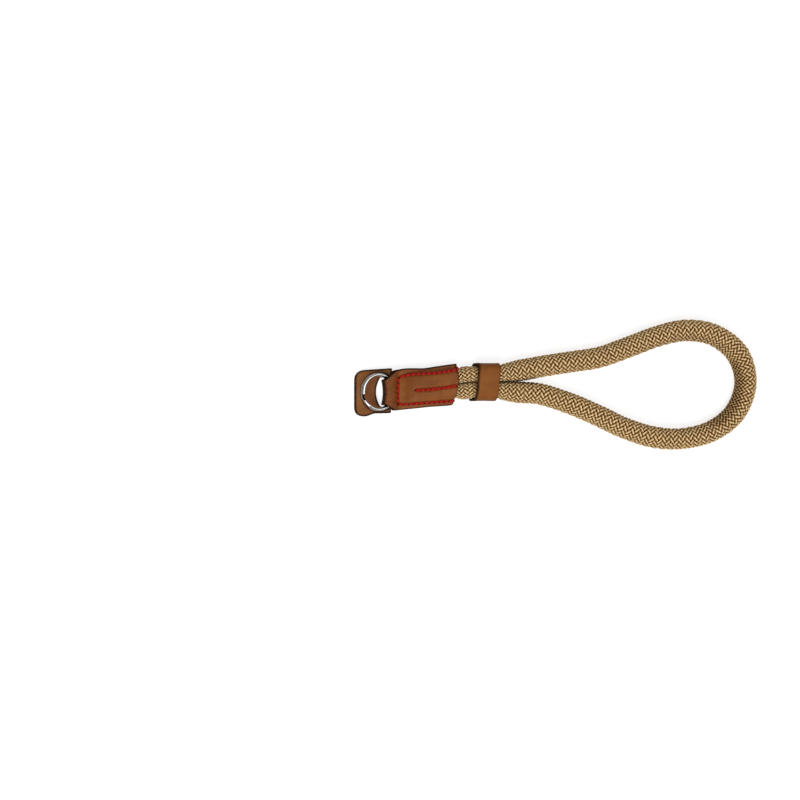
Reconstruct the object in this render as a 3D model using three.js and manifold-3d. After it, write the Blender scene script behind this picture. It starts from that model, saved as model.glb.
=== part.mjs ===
// Camera wrist strap: one braided rope bent into a wrist loop, a folded leather end patch that
// grips both rope ends, a split ring in the patch's fold, a protector pad under the ring and a
// leather keeper that slides on the two strands.
// Millimetres, +Z up. The strap lies flat on z = 0, with its ring end at -X and its loop at +X,
// and the origin is under the middle of the whole strap.
import * as THREE from 'three';
import { mergeVertices } from 'three/addons/utils/BufferGeometryUtils.js';
import Module from 'manifold-3d';

const wasm = await Module();
wasm.setup();

// ---------------------------------------------------------------- driving dimensions
const LEATHER = 1.2;                // thickness of one layer of the end patch

const ROPE_SIDES = 16;
const ROPE_STEPS = 92;
const ROPE_SQUARENESS = 2.3;        // 2 is an ellipse, more is boxier

const PATCH = {
  x: -86.8,                         // outermost line of the fold
  y: -4.1,
  slope: 0.113,                     // its middle line drifts towards +Y by this share
  length: 34.75,
  endSlant: THREE.MathUtils.degToRad(5),
  neckHalf: 5.95,                   // half width at the fold
  shoulderStart: 1.3,
  shoulderEnd: 6.1,
  shoulderHalf: 9.15,
  endHalf: 9.45,
  foldReach: 3.8,                   // from the outermost line to the fold's full height
  foldMid: 4.7,                     // height of the fold's middle
  foldSquareness: 3.6,
  foldBow: 0.8,                     // the fold's middle gives way to the ring's curve
  rim: 3.0,                         // the two layers and the glue line at the stitched edges
};

// The patch behind its fold, one row a section, with s counted from the fold. bottom and top
// bound the middle of the section, rimMid is the height of its stitched edges, and crown says
// how far the middle bulges clear of those edges.
const PATCH_SECTIONS = [
  { s: 3.8, bottom: 0.0, top: 9.4, rimMid: 4.70, crown: 0.0 },
  { s: 4.8, bottom: 0.0, top: 8.9, rimMid: 4.45, crown: 0.0 },
  { s: 5.8, bottom: 0.1, top: 8.1, rimMid: 4.10, crown: 0.0 },
  { s: 6.7, bottom: 0.8, top: 7.0, rimMid: 3.85, crown: 0.0 },
  { s: 7.4, bottom: 1.8, top: 5.9, rimMid: 3.75, crown: 0.1 },
  { s: 8.6, bottom: 2.1, top: 5.5, rimMid: 3.80, crown: 0.4 },
  { s: 10.5, bottom: 1.5, top: 6.3, rimMid: 3.95, crown: 0.8 },
  { s: 12.5, bottom: 0.7, top: 7.6, rimMid: 4.20, crown: 1.0 },
  { s: 14.5, bottom: 0.2, top: 8.6, rimMid: 4.40, crown: 1.0 },
  { s: 17.0, bottom: 0.0, top: 9.1, rimMid: 4.55, crown: 1.0 },
  { s: 21.0, bottom: 0.0, top: 9.2, rimMid: 4.60, crown: 1.0 },
  { s: 27.0, bottom: 0.0, top: 9.2, rimMid: 4.60, crown: 1.0 },
  { s: 40.0, bottom: 0.0, top: 9.2, rimMid: 4.60, crown: 1.0 },
];
const CROWN_FLAT = 3.5;             // half width of the flat top and underside
const CROWN_FOOT = 7.9;             // where the bulge meets the stitched rim
const CREASE = { start: 16, half: 1.3, depth: 0.45 };   // the middle row of stitches pulls it down

// The tunnel between the layers, where the ring and the pad's bar lie, behind the fold.
const TUNNEL_SECTIONS = [
  { s: 4.8, bottom: 1.25, top: 7.65 },
  { s: 6.0, bottom: 1.40, top: 6.70 },
  { s: 6.7, bottom: 2.15, top: 5.65 },
  { s: 7.3, bottom: 3.30, top: 4.30 },
];
const SOCKET = { start: 14.2, halfWidth: 6.95, squareness: 3.2 };   // for the rope ends

const PAD = { x: -91.3, y: -3.9, underside: 0.84, slope: 0.1, thickness: 1.6 };

const RING = {
  x: -88.85,
  y: -3.95,
  z: 7.88,
  tilt: THREE.MathUtils.degToRad(21),   // the snug fold holds its free side up
  wire: 1.25,
  radius: 8.0,                      // to the middle of the wire
  pitch: 1.34,                      // from one turn to the other
  crossing: 215,                    // degrees round the ring where the wire changes turns
  crossingSpan: 36,
  endGap: 10,
  sides: 10,
  steps: 96,
};

const SLIDER = {
  x: -42.2,                         // its edge towards the patch
  y: 0.82,
  length: 9.8,
  width: 18.0,
  height: 12.0,
  wall: 1.3,
  topCorner: 4.4,
  bottomCorner: 2.4,                // flatter underneath, where its ends are glued together
  skew: 0.09,                       // it sits a little askew on the strands
  lean: 0.05,                       // and its top leans towards the loop
};

// Middle line of the rope, from its lower end in the patch round the loop to its upper end, with
// the width and height of its section.
const ROPE_ROUTE = [
  { x: -71.3, y: -5.73, z: 4.45, width: 6.2, height: 5.2 },
  { x: -63.0, y: -4.82, z: 4.60, width: 6.4, height: 5.7 },
  { x: -51.9, y: -3.60, z: 4.60, width: 6.4, height: 5.7 },
  { x: -48.9, y: -3.40, z: 4.90, width: 6.9, height: 7.1 },
  { x: -45.9, y: -3.05, z: 5.45, width: 7.1, height: 8.4 },
  { x: -42.0, y: -2.87, z: 5.95, width: 7.0, height: 8.6 },
  { x: -36.7, y: -2.86, z: 6.00, width: 7.0, height: 8.6 },
  { x: -32.9, y: -2.86, z: 6.00, width: 7.0, height: 8.6 },
  { x: -30.6, y: -3.05, z: 5.75, width: 7.5, height: 9.0 },
  { x: -27.0, y: -3.50, z: 5.35, width: 8.7, height: 9.5 },
  { x: -21.5, y: -3.95, z: 5.05, width: 9.7, height: 10.0 },
  { x: -15.5, y: -4.25, z: 5.00, width: 10.0, height: 10.0 },
  { x: -9.7, y: -5.00, z: 5.00, width: 10.0, height: 10.0 },
  { x: 4.4, y: -9.30, z: 5.00, width: 10.0, height: 10.0 },
  { x: 18.2, y: -15.00, z: 5.00, width: 10.0, height: 10.0 },
  { x: 32.0, y: -21.20, z: 5.00, width: 10.0, height: 10.0 },
  { x: 46.6, y: -25.60, z: 5.00, width: 10.3, height: 10.0 },
  { x: 62.0, y: -26.35, z: 5.00, width: 10.0, height: 10.0 },
  { x: 77.1, y: -22.60, z: 5.00, width: 10.0, height: 10.0 },
  { x: 89.2, y: -13.40, z: 5.00, width: 10.0, height: 10.0 },
  { x: 94.4, y: 0.50, z: 5.00, width: 10.0, height: 10.0 },
  { x: 90.4, y: 14.70, z: 5.00, width: 10.6, height: 10.0 },
  { x: 78.3, y: 23.90, z: 5.00, width: 10.3, height: 10.0 },
  { x: 63.3, y: 26.25, z: 5.00, width: 10.4, height: 10.0 },
  { x: 48.3, y: 23.15, z: 5.00, width: 10.0, height: 10.0 },
  { x: 34.0, y: 18.00, z: 5.00, width: 10.0, height: 10.0 },
  { x: 19.6, y: 13.05, z: 5.00, width: 10.0, height: 10.0 },
  { x: 4.7, y: 10.60, z: 5.00, width: 10.0, height: 10.0 },
  { x: -10.0, y: 8.35, z: 5.00, width: 10.0, height: 10.0 },
  { x: -15.5, y: 7.35, z: 5.00, width: 10.0, height: 10.0 },
  { x: -21.5, y: 6.25, z: 5.05, width: 9.7, height: 10.0 },
  { x: -27.0, y: 5.35, z: 5.35, width: 8.4, height: 9.5 },
  { x: -29.6, y: 4.95, z: 5.70, width: 7.8, height: 9.1 },
  { x: -31.7, y: 4.55, z: 5.95, width: 7.1, height: 8.7 },
  { x: -36.7, y: 4.48, z: 6.00, width: 7.0, height: 8.6 },
  { x: -42.0, y: 4.48, z: 5.95, width: 7.0, height: 8.6 },
  { x: -45.9, y: 4.20, z: 5.45, width: 7.1, height: 8.4 },
  { x: -48.9, y: 3.65, z: 4.90, width: 6.9, height: 7.1 },
  { x: -51.4, y: 3.24, z: 4.60, width: 6.4, height: 5.7 },
  { x: -63.0, y: 1.98, z: 4.60, width: 6.4, height: 5.7 },
  { x: -71.3, y: 1.07, z: 4.45, width: 6.2, height: 5.2 },
];

// ---------------------------------------------------------------- small helpers
const FULL_TURN = Math.PI * 2;
const UP = new THREE.Vector3(0, 0, 1);
const mix = THREE.MathUtils.lerp;
const clamp = THREE.MathUtils.clamp;

function smooth(t) {
  const u = clamp(t, 0, 1);
  return u * u * (3 - 2 * u);
}

// Signed cosine or sine of a squared-off ellipse.
function squared(value, power) {
  return Math.sign(value) * Math.pow(Math.abs(value), 2 / power);
}

// The values of a table between its two rows on either side of s.
function rowAt(rows, s) {
  const next = Math.max(1, rows.findIndex((row) => row.s >= s));
  const before = rows[next - 1];
  const after = rows[next];
  const t = clamp((s - before.s) / (after.s - before.s), 0, 1);
  const row = {};
  for (const column of Object.keys(before)) row[column] = mix(before[column], after[column], t);
  return row;
}

// Closed mesh through rings of points that all go the same way round, with flat ends.
function loft(rings) {
  const count = rings[0].length;
  const positions = [];
  const triangles = [];
  for (const p of rings.flat()) positions.push(p.x, p.y, p.z);
  for (let r = 0; r + 1 < rings.length; r += 1) {
    for (let i = 0; i < count; i += 1) {
      const a = r * count + i;
      const b = r * count + (i + 1) % count;
      triangles.push(a, b, a + count, b, b + count, a + count);
    }
  }
  const lastStart = (rings.length - 1) * count;
  for (const [ring, start, isLast] of [[rings[0], 0, false], [rings.at(-1), lastStart, true]]) {
    const middle = new THREE.Vector3();
    for (const p of ring) middle.addScaledVector(p, 1 / count);
    const centre = positions.length / 3;
    positions.push(middle.x, middle.y, middle.z);
    for (let i = 0; i < count; i += 1) {
      const a = start + i;
      const b = start + (i + 1) % count;
      if (isLast) triangles.push(a, b, centre);
      else triangles.push(b, a, centre);
    }
  }
  const geometry = new THREE.BufferGeometry();
  geometry.setAttribute('position', new THREE.Float32BufferAttribute(positions, 3));
  geometry.setIndex(triangles);
  return geometry;
}

function toSolid(geometry) {
  const bare = geometry.clone();
  bare.deleteAttribute('normal');
  bare.deleteAttribute('uv');
  const merged = mergeVertices(bare, 1e-4);
  return new wasm.Manifold(new wasm.Mesh({
    numProp: 3,
    vertProperties: new Float32Array(merged.attributes.position.array),
    triVerts: new Uint32Array(merged.index.array),
  }));
}

function toGeometry(solid) {
  const mesh = solid.getMesh();
  const geometry = new THREE.BufferGeometry();
  geometry.setAttribute('position', new THREE.BufferAttribute(mesh.vertProperties, 3));
  geometry.setIndex(new THREE.BufferAttribute(mesh.triVerts, 1));
  return geometry;
}

function makeMesh(name, geometry, material) {
  geometry.computeVertexNormals();
  const mesh = new THREE.Mesh(geometry, material);
  mesh.name = name;
  return mesh;
}

// ---------------------------------------------------------------- rope
function ropeSection(curve, t, width, height) {
  const point = curve.getPointAt(t);
  const tangent = curve.getTangentAt(t);
  const side = new THREE.Vector3().crossVectors(UP, tangent).normalize();
  const lift = new THREE.Vector3().crossVectors(tangent, side).normalize();
  const ring = [];
  for (let i = 0; i < ROPE_SIDES; i += 1) {
    const angle = (i / ROPE_SIDES) * FULL_TURN;
    const across = squared(Math.cos(angle), ROPE_SQUARENESS) * width / 2;
    const above = squared(Math.sin(angle), ROPE_SQUARENESS) * height / 2;
    ring.push(point.clone().addScaledVector(side, across).addScaledVector(lift, above));
  }
  return ring;
}

function makeRope(material) {
  const points = ROPE_ROUTE.map((row) => new THREE.Vector3(row.x, row.y, row.z));
  const curve = new THREE.CatmullRomCurve3(points, false, 'centripetal');
  curve.arcLengthDivisions = 1600;
  const spans = ROPE_ROUTE.length - 1;
  const rings = [];
  for (let i = 0; i <= ROPE_STEPS; i += 1) {
    const t = i / ROPE_STEPS;
    const place = curve.getUtoTmapping(t) * spans;
    const before = Math.min(Math.floor(place), spans - 1);
    const share = place - before;
    const width = mix(ROPE_ROUTE[before].width, ROPE_ROUTE[before + 1].width, share);
    const height = mix(ROPE_ROUTE[before].height, ROPE_ROUTE[before + 1].height, share);
    rings.push(ropeSection(curve, t, width, height));
  }
  return makeMesh('rope_loop', loft(rings), material);
}

// ---------------------------------------------------------------- end patch
function patchHalfWidth(s) {
  const shoulder = clamp((s - PATCH.shoulderStart) / (PATCH.shoulderEnd - PATCH.shoulderStart), 0, 1);
  const body = clamp((s - PATCH.shoulderEnd) / (PATCH.length - PATCH.shoulderEnd), 0, 1);
  const taper = (PATCH.endHalf - PATCH.shoulderHalf) * body;
  return mix(PATCH.neckHalf, PATCH.shoulderHalf, shoulder) + taper;
}

// How much of the bulge is left at distance y from the patch's middle line.
function crownAt(y) {
  const u = (Math.abs(y) - CROWN_FLAT) / (CROWN_FOOT - CROWN_FLAT);
  return 1 - Math.pow(clamp(u, 0, 1), 2.5);
}

function patchHeights(row, y) {
  const share = 1 - row.crown * (1 - crownAt(y));
  const dip = row.s > CREASE.start ? CREASE.depth * smooth(1 - Math.abs(y) / CREASE.half) : 0;
  const top = mix(row.rimMid + PATCH.rim / 2, row.top, share) - dip;
  const bottom = mix(row.rimMid - PATCH.rim / 2, row.bottom, share);
  return { top, bottom };
}

function foldBow(s, y) {
  const fade = smooth(1 - s / PATCH.shoulderEnd);
  const u = Math.min(1, Math.abs(y) / PATCH.neckHalf);
  return PATCH.foldBow * (1 - u * u) * fade;
}

const SECTION_OFFSETS = [-1, -0.93, -0.855, -0.78, -0.68, -0.55, -0.375, -0.14, 0,
  0.14, 0.375, 0.55, 0.68, 0.78, 0.855, 0.93, 1];

function patchRing(row) {
  const half = patchHalfWidth(row.s);
  const lower = [];
  const upper = [];
  for (const offset of SECTION_OFFSETS) {
    const y = offset * half;
    const { top, bottom } = patchHeights(row, y);
    const along = row.s + foldBow(row.s, y);
    const across = y + PATCH.slope * row.s;
    lower.push(new THREE.Vector3(along, across, bottom));
    upper.push(new THREE.Vector3(along, across, top));
  }
  return lower.concat(upper.reverse());
}

function patchHull() {
  const rows = [];
  for (const degrees of [8, 20, 33, 46, 59, 74]) {
    const angle = THREE.MathUtils.degToRad(degrees);
    const s = PATCH.foldReach * (1 - squared(Math.cos(angle), PATCH.foldSquareness));
    const half = PATCH.foldMid * squared(Math.sin(angle), PATCH.foldSquareness);
    const mid = PATCH.foldMid;
    rows.push({ s, bottom: mid - half, top: mid + half, rimMid: mid, crown: 0 });
  }
  return loft(rows.concat(PATCH_SECTIONS).map(patchRing));
}

function patchTunnel() {
  const reach = PATCH.foldReach - LEATHER;
  const rise = PATCH.foldMid - LEATHER;
  const outline = [];
  for (let i = -6; i <= 6; i += 1) {
    const angle = (i / 6) * Math.PI / 2;
    const s = PATCH.foldReach - reach * squared(Math.cos(angle), PATCH.foldSquareness);
    outline.push({ s, z: PATCH.foldMid + rise * squared(Math.sin(angle), PATCH.foldSquareness) });
  }
  for (const row of TUNNEL_SECTIONS) outline.push({ s: row.s, z: row.top });
  for (const row of TUNNEL_SECTIONS.toReversed()) outline.push({ s: row.s, z: row.bottom });
  const rings = [];
  const slices = 12;
  const outside = PATCH.endHalf + 2;
  for (let i = 0; i <= slices; i += 1) {
    const y = mix(-outside, outside, i / slices);
    rings.push(outline.map((p) => new THREE.Vector3(p.s + foldBow(p.s, y), y, p.z)));
  }
  return loft(rings);
}

function patchSocket() {
  const rings = [];
  for (const s of [SOCKET.start, 17, 21, 40]) {
    const row = rowAt(PATCH_SECTIONS, s);
    const half = (row.top - row.bottom) / 2 - LEATHER;
    const ring = [];
    for (let i = 0; i < 24; i += 1) {
      const angle = (i / 24) * FULL_TURN;
      const y = squared(Math.cos(angle), SOCKET.squareness) * SOCKET.halfWidth + PATCH.slope * s;
      const rise = squared(Math.sin(angle), SOCKET.squareness) * half;
      ring.push(new THREE.Vector3(s, y, (row.top + row.bottom) / 2 + rise));
    }
    rings.push(ring);
  }
  return loft(rings);
}

// A block over everything past the cut at the open end.
function patchEndCut() {
  const block = new THREE.BoxGeometry(20, 60, 40);
  block.translate(10, 0, 0);
  block.rotateZ(-PATCH.endSlant);
  block.translate(PATCH.length, PATCH.slope * PATCH.length, 0);
  return block;
}

function makePatch(material) {
  const solid = toSolid(patchHull())
    .subtract(toSolid(patchTunnel()))
    .subtract(toSolid(patchSocket()))
    .subtract(toSolid(patchEndCut()));
  const mesh = makeMesh('end_patch', toGeometry(solid), material);
  mesh.position.set(PATCH.x, PATCH.y, 0);
  return mesh;
}

// ---------------------------------------------------------------- protector pad
function makePad(material) {
  const outline = new THREE.Shape();
  outline.moveTo(9.0, -9.9);
  outline.lineTo(2.4, -10.0);
  outline.bezierCurveTo(0.2, -10.1, -0.8, -11.4, -3.2, -11.4);
  outline.quadraticCurveTo(-7.8, -11.4, -7.8, -7.2);
  outline.lineTo(-7.8, 5.2);
  outline.quadraticCurveTo(-7.8, 10.0, -2.6, 10.3);
  outline.lineTo(9.3, 11.1);
  outline.quadraticCurveTo(9.9, 11.1, 9.9, 10.5);
  outline.lineTo(9.4, -9.5);
  outline.quadraticCurveTo(9.4, -9.9, 9.0, -9.9);
  const window = new THREE.Path();
  window.moveTo(7.5, -7.4);
  window.lineTo(7.5, 7.4);
  window.lineTo(4.3, 6.6);
  window.quadraticCurveTo(0.5, 0.0, 4.3, -6.6);
  outline.holes.push(window);
  const plate = new THREE.ExtrudeGeometry(outline, {
    depth: PAD.thickness, bevelEnabled: false, curveSegments: 8,
  });
  const mesh = makeMesh('protector_pad', toGeometry(toSolid(plate)), material);
  mesh.position.set(PAD.x, PAD.y, PAD.underside);
  mesh.rotation.y = -Math.atan(PAD.slope);
  return mesh;
}

// ---------------------------------------------------------------- split ring
// The wire runs once round on the lower level, crosses over and runs round again on the upper.
function makeRing(material) {
  const first = RING.crossing + RING.crossingSpan / 2 + RING.endGap;
  const last = RING.crossing + 720 - RING.crossingSpan / 2 - RING.endGap;
  const climbStart = RING.crossing + 360 - RING.crossingSpan / 2;
  const rings = [];
  for (let i = 0; i <= RING.steps; i += 1) {
    const degrees = mix(first, last, i / RING.steps);
    const level = smooth((degrees - climbStart) / RING.crossingSpan) - 0.5;
    const angle = THREE.MathUtils.degToRad(degrees);
    const ring = [];
    for (let k = 0; k < RING.sides; k += 1) {
      const around = ((k + 0.5) / RING.sides) * FULL_TURN;
      const radius = RING.radius - Math.cos(around) * RING.wire / 2;
      const height = level * RING.pitch + Math.sin(around) * RING.wire / 2;
      ring.push(new THREE.Vector3(Math.cos(angle) * radius, Math.sin(angle) * radius, height));
    }
    rings.push(ring);
  }
  const mesh = makeMesh('split_ring', loft(rings), material);
  mesh.position.set(RING.x, RING.y, RING.z);
  mesh.rotation.y = RING.tilt;
  return mesh;
}

// ---------------------------------------------------------------- keeper slider
// A rounded rectangle that lies inset inside the band's outer outline.
function bandOutline(target, inset) {
  const x = SLIDER.width / 2 - inset;
  const y = SLIDER.height / 2 - inset;
  const top = SLIDER.topCorner - inset;
  const bottom = SLIDER.bottomCorner - inset;
  target.moveTo(-x + bottom, -y);
  target.lineTo(x - bottom, -y);
  target.absarc(x - bottom, -y + bottom, bottom, -Math.PI / 2, 0, false);
  target.lineTo(x, y - top);
  target.absarc(x - top, y - top, top, 0, Math.PI / 2, false);
  target.lineTo(-x + top, y);
  target.absarc(-x + top, y - top, top, Math.PI / 2, Math.PI, false);
  target.lineTo(-x, -y + bottom);
  target.absarc(-x + bottom, -y + bottom, bottom, Math.PI, Math.PI * 1.5, false);
  return target;
}

function makeSlider(material) {
  const band = bandOutline(new THREE.Shape(), 0);
  band.holes.push(bandOutline(new THREE.Path(), SLIDER.wall));
  const tube = new THREE.ExtrudeGeometry(band, {
    depth: SLIDER.length, bevelEnabled: false, curveSegments: 6,
  });
  // The extrusion runs along +X, the band's width along +Y and its height along +Z.
  const turn = new THREE.Matrix4().set(
    SLIDER.skew, SLIDER.lean, 1, 0,
    1, 0, 0, 0,
    0, 1, 0, 0,
    0, 0, 0, 1,
  );
  tube.applyMatrix4(turn);
  const mesh = makeMesh('keeper_slider', toGeometry(toSolid(tube)), material);
  mesh.position.set(SLIDER.x, SLIDER.y, SLIDER.height / 2);
  return mesh;
}

// ---------------------------------------------------------------- materials and assembly
function leather(color) {
  return new THREE.MeshStandardMaterial({ color, roughness: 0.55, metalness: 0 });
}

const ropeCord = new THREE.MeshStandardMaterial({ color: 0xb3905f, roughness: 0.85, metalness: 0 });
const nickel = new THREE.MeshStandardMaterial({ color: 0xc9c8c6, roughness: 0.25, metalness: 1 });

const strap = new THREE.Group();
strap.add(makeRope(ropeCord));
strap.add(makePatch(leather(0x8a552d)));
strap.add(makePad(leather(0x855535)));
strap.add(makeRing(nickel));
strap.add(makeSlider(leather(0x87532b)));

export default strap;
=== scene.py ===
"""Camera wrist strap: the looks of its braided rope, stitched leather, split ring, pad and keeper.

Lengths are millimetres in the part's frame, and make_piece turns them into metres. The camera, the
lights, and the scales and bump distances of materials are in metres. A pair of numbers that ramp
takes says where something starts and where it is complete.
"""

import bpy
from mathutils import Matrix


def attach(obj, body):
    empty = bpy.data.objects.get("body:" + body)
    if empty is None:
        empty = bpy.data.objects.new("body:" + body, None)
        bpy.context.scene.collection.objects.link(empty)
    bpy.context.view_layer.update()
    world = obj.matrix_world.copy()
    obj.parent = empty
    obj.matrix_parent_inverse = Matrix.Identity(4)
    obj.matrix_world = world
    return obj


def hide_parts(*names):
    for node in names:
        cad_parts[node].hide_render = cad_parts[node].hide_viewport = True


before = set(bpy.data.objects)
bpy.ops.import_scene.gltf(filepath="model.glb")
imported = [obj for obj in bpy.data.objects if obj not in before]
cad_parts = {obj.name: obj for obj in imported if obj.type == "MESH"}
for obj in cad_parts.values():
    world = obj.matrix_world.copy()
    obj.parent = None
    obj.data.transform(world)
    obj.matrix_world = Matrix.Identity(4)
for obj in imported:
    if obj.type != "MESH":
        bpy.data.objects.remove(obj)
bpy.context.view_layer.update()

import math

import bmesh
import bpy
import numpy as np
from mathutils import Matrix, Vector
from mathutils.geometry import delaunay_2d_cdt

MM = 0.001
UP = np.array([0.0, 0.0, 1.0])
rng = np.random.default_rng(11)


# -------- numbers and shapes
def smooth(t):
    t = np.clip(t, 0.0, 1.0)
    return t * t * (3 - 2 * t)


def ramp(value, start, end):
    """0 before start, 1 beyond end, smooth between; start may be the higher one."""
    return smooth((value - start) / (end - start))


def bump_at(distance, half):
    """1 at distance 0, falling to 0 at half."""
    return smooth(1 - np.abs(distance) / half)


def mix(a, b, t):
    """a where t is 0, b where t is 1."""
    return a + (b - a) * t


def unit(v):
    """Vectors of length 1."""
    return v / np.linalg.norm(v, axis=-1, keepdims=True)


def signed_power(value, power):
    """Turns the sine or cosine of a circle into that of a superellipse."""
    return np.sign(value) * np.abs(value) ** (2 / power)


def run_along(line):
    """Distance from the first point of a line to each of its points."""
    return np.append(0, np.cumsum(np.linalg.norm(np.diff(line, axis=0), axis=1)))


def edge_roll(near, radius):
    """How deep a rounded edge lies below the surface at a distance near from the cut."""
    return radius - np.sqrt(np.maximum(radius ** 2 - np.maximum(radius - near, 0) ** 2, 0))


def spaced(length, fine, step):
    """Positions from 0 to length, crowded as in fine at both ends."""
    count = max(2, round((length - 2 * fine[-1]) / step) + 1)
    inner = np.linspace(fine[-1], length - fine[-1], count)
    return np.concatenate([fine[:-1], inner, (length - np.array(fine[:-1]))[::-1]])


def segment_distance(x, y, start, end):
    """Distance of flat points to the straight line from start to end."""
    (x0, y0), (x1, y1) = start, end
    dx, dy = x1 - x0, y1 - y0
    t = np.clip(((x - x0) * dx + (y - y0) * dy) / (dx * dx + dy * dy), 0, 1)
    return np.hypot(x - x0 - t * dx, y - y0 - t * dy)


def inside_loops(x, y, segments):
    """Which flat points lie inside closed loops, by the sides that a ray crosses."""
    inside = np.zeros(len(x), bool)
    for (x0, y0), (x1, y1) in segments:
        if y0 != y1:
            passes = (y0 > y) != (y1 > y)
            inside ^= passes & (x < x0 + (y - y0) * (x1 - x0) / (y1 - y0))
    return inside


def add_curve(points, *pulls, count=12):
    """Adds a curve from the last point to the last of the pulls."""
    t = np.linspace(0, 1, count + 1)[1:, None]
    line = [np.array(p, float) for p in (points[-1], *pulls)]
    while len(line) > 1:
        line = [mix(p, q, t) for p, q in zip(line, line[1:])]
    points += list(line[0])


# -------- meshes
def new_object(name, data):
    made = bpy.data.objects.new(name, data)
    bpy.context.scene.collection.objects.link(made)
    return made


def make_piece(name, points, faces, material, attributes=None, uv=None):
    """A smooth-shaded object from points in millimetres, with numbers for each point."""
    mesh = bpy.data.meshes.new(name)
    mesh.from_pydata((np.asarray(points, float).reshape(-1, 3) * MM).tolist(), [], faces)
    for key, values in (attributes or {}).items():
        layer = mesh.attributes.new(key, "FLOAT", "POINT")
        layer.data.foreach_set("value", np.asarray(values, np.float32).ravel())
    if uv is not None:
        layer = mesh.uv_layers.new(name="lay")
        layer.data.foreach_set("uv", np.asarray(uv, np.float32).ravel())
    mesh.shade_smooth()
    mesh.materials.append(material)
    return new_object(name, mesh)


def grid_faces(rows, columns, close_rows=False, close_columns=False):
    """Faces of a grid of points, which may run round into itself either way."""
    faces = []
    for r in range(rows if close_rows else rows - 1):
        a, b = r * columns, (r + 1) % rows * columns
        for c in range(columns if close_columns else columns - 1):
            n = (c + 1) % columns
            faces.append((a + c, a + n, b + n, b + c))
    return faces


def tube_faces(rows, sides):
    """Faces of a tube of rings, closed at both ends."""
    last = (rows - 1) * sides
    caps = [tuple(range(sides))[::-1], tuple(range(last, last + sides))]
    return grid_faces(rows, sides, close_columns=True) + caps


def shell_faces(rows, columns, close_rows=False):
    """Faces of a skin, of a lining with as many points, and of the cut edges between."""
    lining = grid_faces(rows, columns, close_rows)
    shift = rows * columns
    faces = [face[::-1] for face in lining] + [tuple(v + shift for v in face) for face in lining]
    cuts = []
    for r in range(rows if close_rows else rows - 1):
        a, b = r * columns, (r + 1) % rows * columns
        cuts += [(b, a), (a + columns - 1, b + columns - 1)]
    if not close_rows:
        last = (rows - 1) * columns
        for c in range(columns - 1):
            cuts += [(c, c + 1), (last + c + 1, last + c)]
    return faces + [(a, b, b + shift, a + shift) for a, b in cuts]


def make_shell(name, skin, lining, faces, hide, edge, groove, shade_and_tone):
    """A piece of skin and lining; the lining takes the dark edge colour and the darker brown as
    painted shade.
    """
    bare = np.ones(len(lining))
    attributes = {
        "edge": np.append(edge, bare),
        "groove": np.append(groove, 0 * bare),
        "shade_and_tone": np.append(shade_and_tone, bare),
    }
    return make_piece(name, np.concatenate([skin, lining]), faces, hide, attributes)


# -------- camera
LENS, SENSOR = 50.76, 36.0
CAMERA_PLACE = (-0.1693, -0.00763, 0.52195)
CAMERA_AIM = (-0.07728, -0.00763, 0.0)


def make_camera():
    """Looks down as the photograph does, with +Y upwards in the picture."""
    data = bpy.data.cameras.new("camera")
    data.sensor_width = SENSOR
    data.lens = LENS
    camera = new_object("camera", data)
    camera.location = CAMERA_PLACE
    look = (Vector(CAMERA_AIM) - camera.location).normalized()
    right = look.cross(Vector((0, 1, 0))).normalized()
    above = right.cross(look)
    camera.rotation_euler = Matrix((right, above, -look)).transposed().to_euler()
    bpy.context.scene.camera = camera


make_camera()

# -------- node materials
MIX_A, MIX_B, MIX_RESULT = 6, 7, 2  # the colour sockets of Blender's Mix node


class Nodes:
    """Short calls that add and link the nodes of a new material or world."""

    def __init__(self, owner):
        owner.use_nodes = True
        self.owner = owner
        self.tree = owner.node_tree

    def wire(self, node, inputs):
        """Links each input of a node to an output, or sets it to a number or colour."""
        for key, value in inputs.items():
            if isinstance(value, bpy.types.NodeSocket):
                self.tree.links.new(value, node.inputs[key])
            else:
                node.inputs[key].default_value = value

    def add(self, kind, inputs, **settings):
        node = self.tree.nodes.new("ShaderNode" + kind)
        for key, value in settings.items():
            setattr(node, key, value)
        self.wire(node, inputs)
        return node.outputs

    def surface(self, colour, roughness, specular, **inputs):
        """Sets the inputs of the material's own shader and gives the material."""
        self.wire(self.tree.nodes["Principled BSDF"], {
            "Base Color": colour, "Roughness": roughness, "Specular IOR Level": specular, **inputs})
        return self.owner

    def attribute(self, name):
        return self.add("Attribute", {}, attribute_name=name)["Fac"]

    def place(self, scale=(1, 1, 1), map_name=None):
        """Where a point lies in its object, or on a map."""
        if map_name:
            where = self.add("UVMap", {}, uv_map=map_name)["UV"]
        else:
            where = self.add("TexCoord", {})["Object"]
        return self.add("Mapping", {"Vector": where, "Scale": scale})["Vector"]

    def noise(self, where, scale, detail=3.0, rough=0.55):
        return self.add("TexNoise", {
            "Vector": where, "Scale": scale, "Detail": detail, "Roughness": rough})["Fac"]

    def waves(self, direction, **inputs):
        """Bands on the map along a strand or thread."""
        inputs = {key.replace("_", " "): value for key, value in inputs.items()}
        return self.add("TexWave", {"Vector": self.place(map_name="lay"), **inputs},
                        wave_type="BANDS", bands_direction=direction, wave_profile="SIN")["Fac"]

    def math(self, operation, a, b=0.0):
        return self.add("Math", {0: a, 1: b}, operation=operation)[0]

    def spread(self, value, low, high, out_low=0.0, out_high=1.0):
        """Maps low..high to out_low..out_high, and holds the ends."""
        return self.add("MapRange", {
            "Value": value, "From Min": low, "From Max": high,
            "To Min": out_low, "To Max": out_high})["Result"]

    def blend(self, share, a, b):
        """Colour a where share is 0, colour b where it is 1."""
        return self.add("Mix", {"Factor": share, MIX_A: a, MIX_B: b},
                        data_type="RGBA")[MIX_RESULT]

    def bump(self, height, strength, distance, **before):
        """A bumped normal, on top of one before it."""
        return self.add("Bump", {
            "Height": height, "Strength": strength, "Distance": distance, **before})["Normal"]


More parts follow.
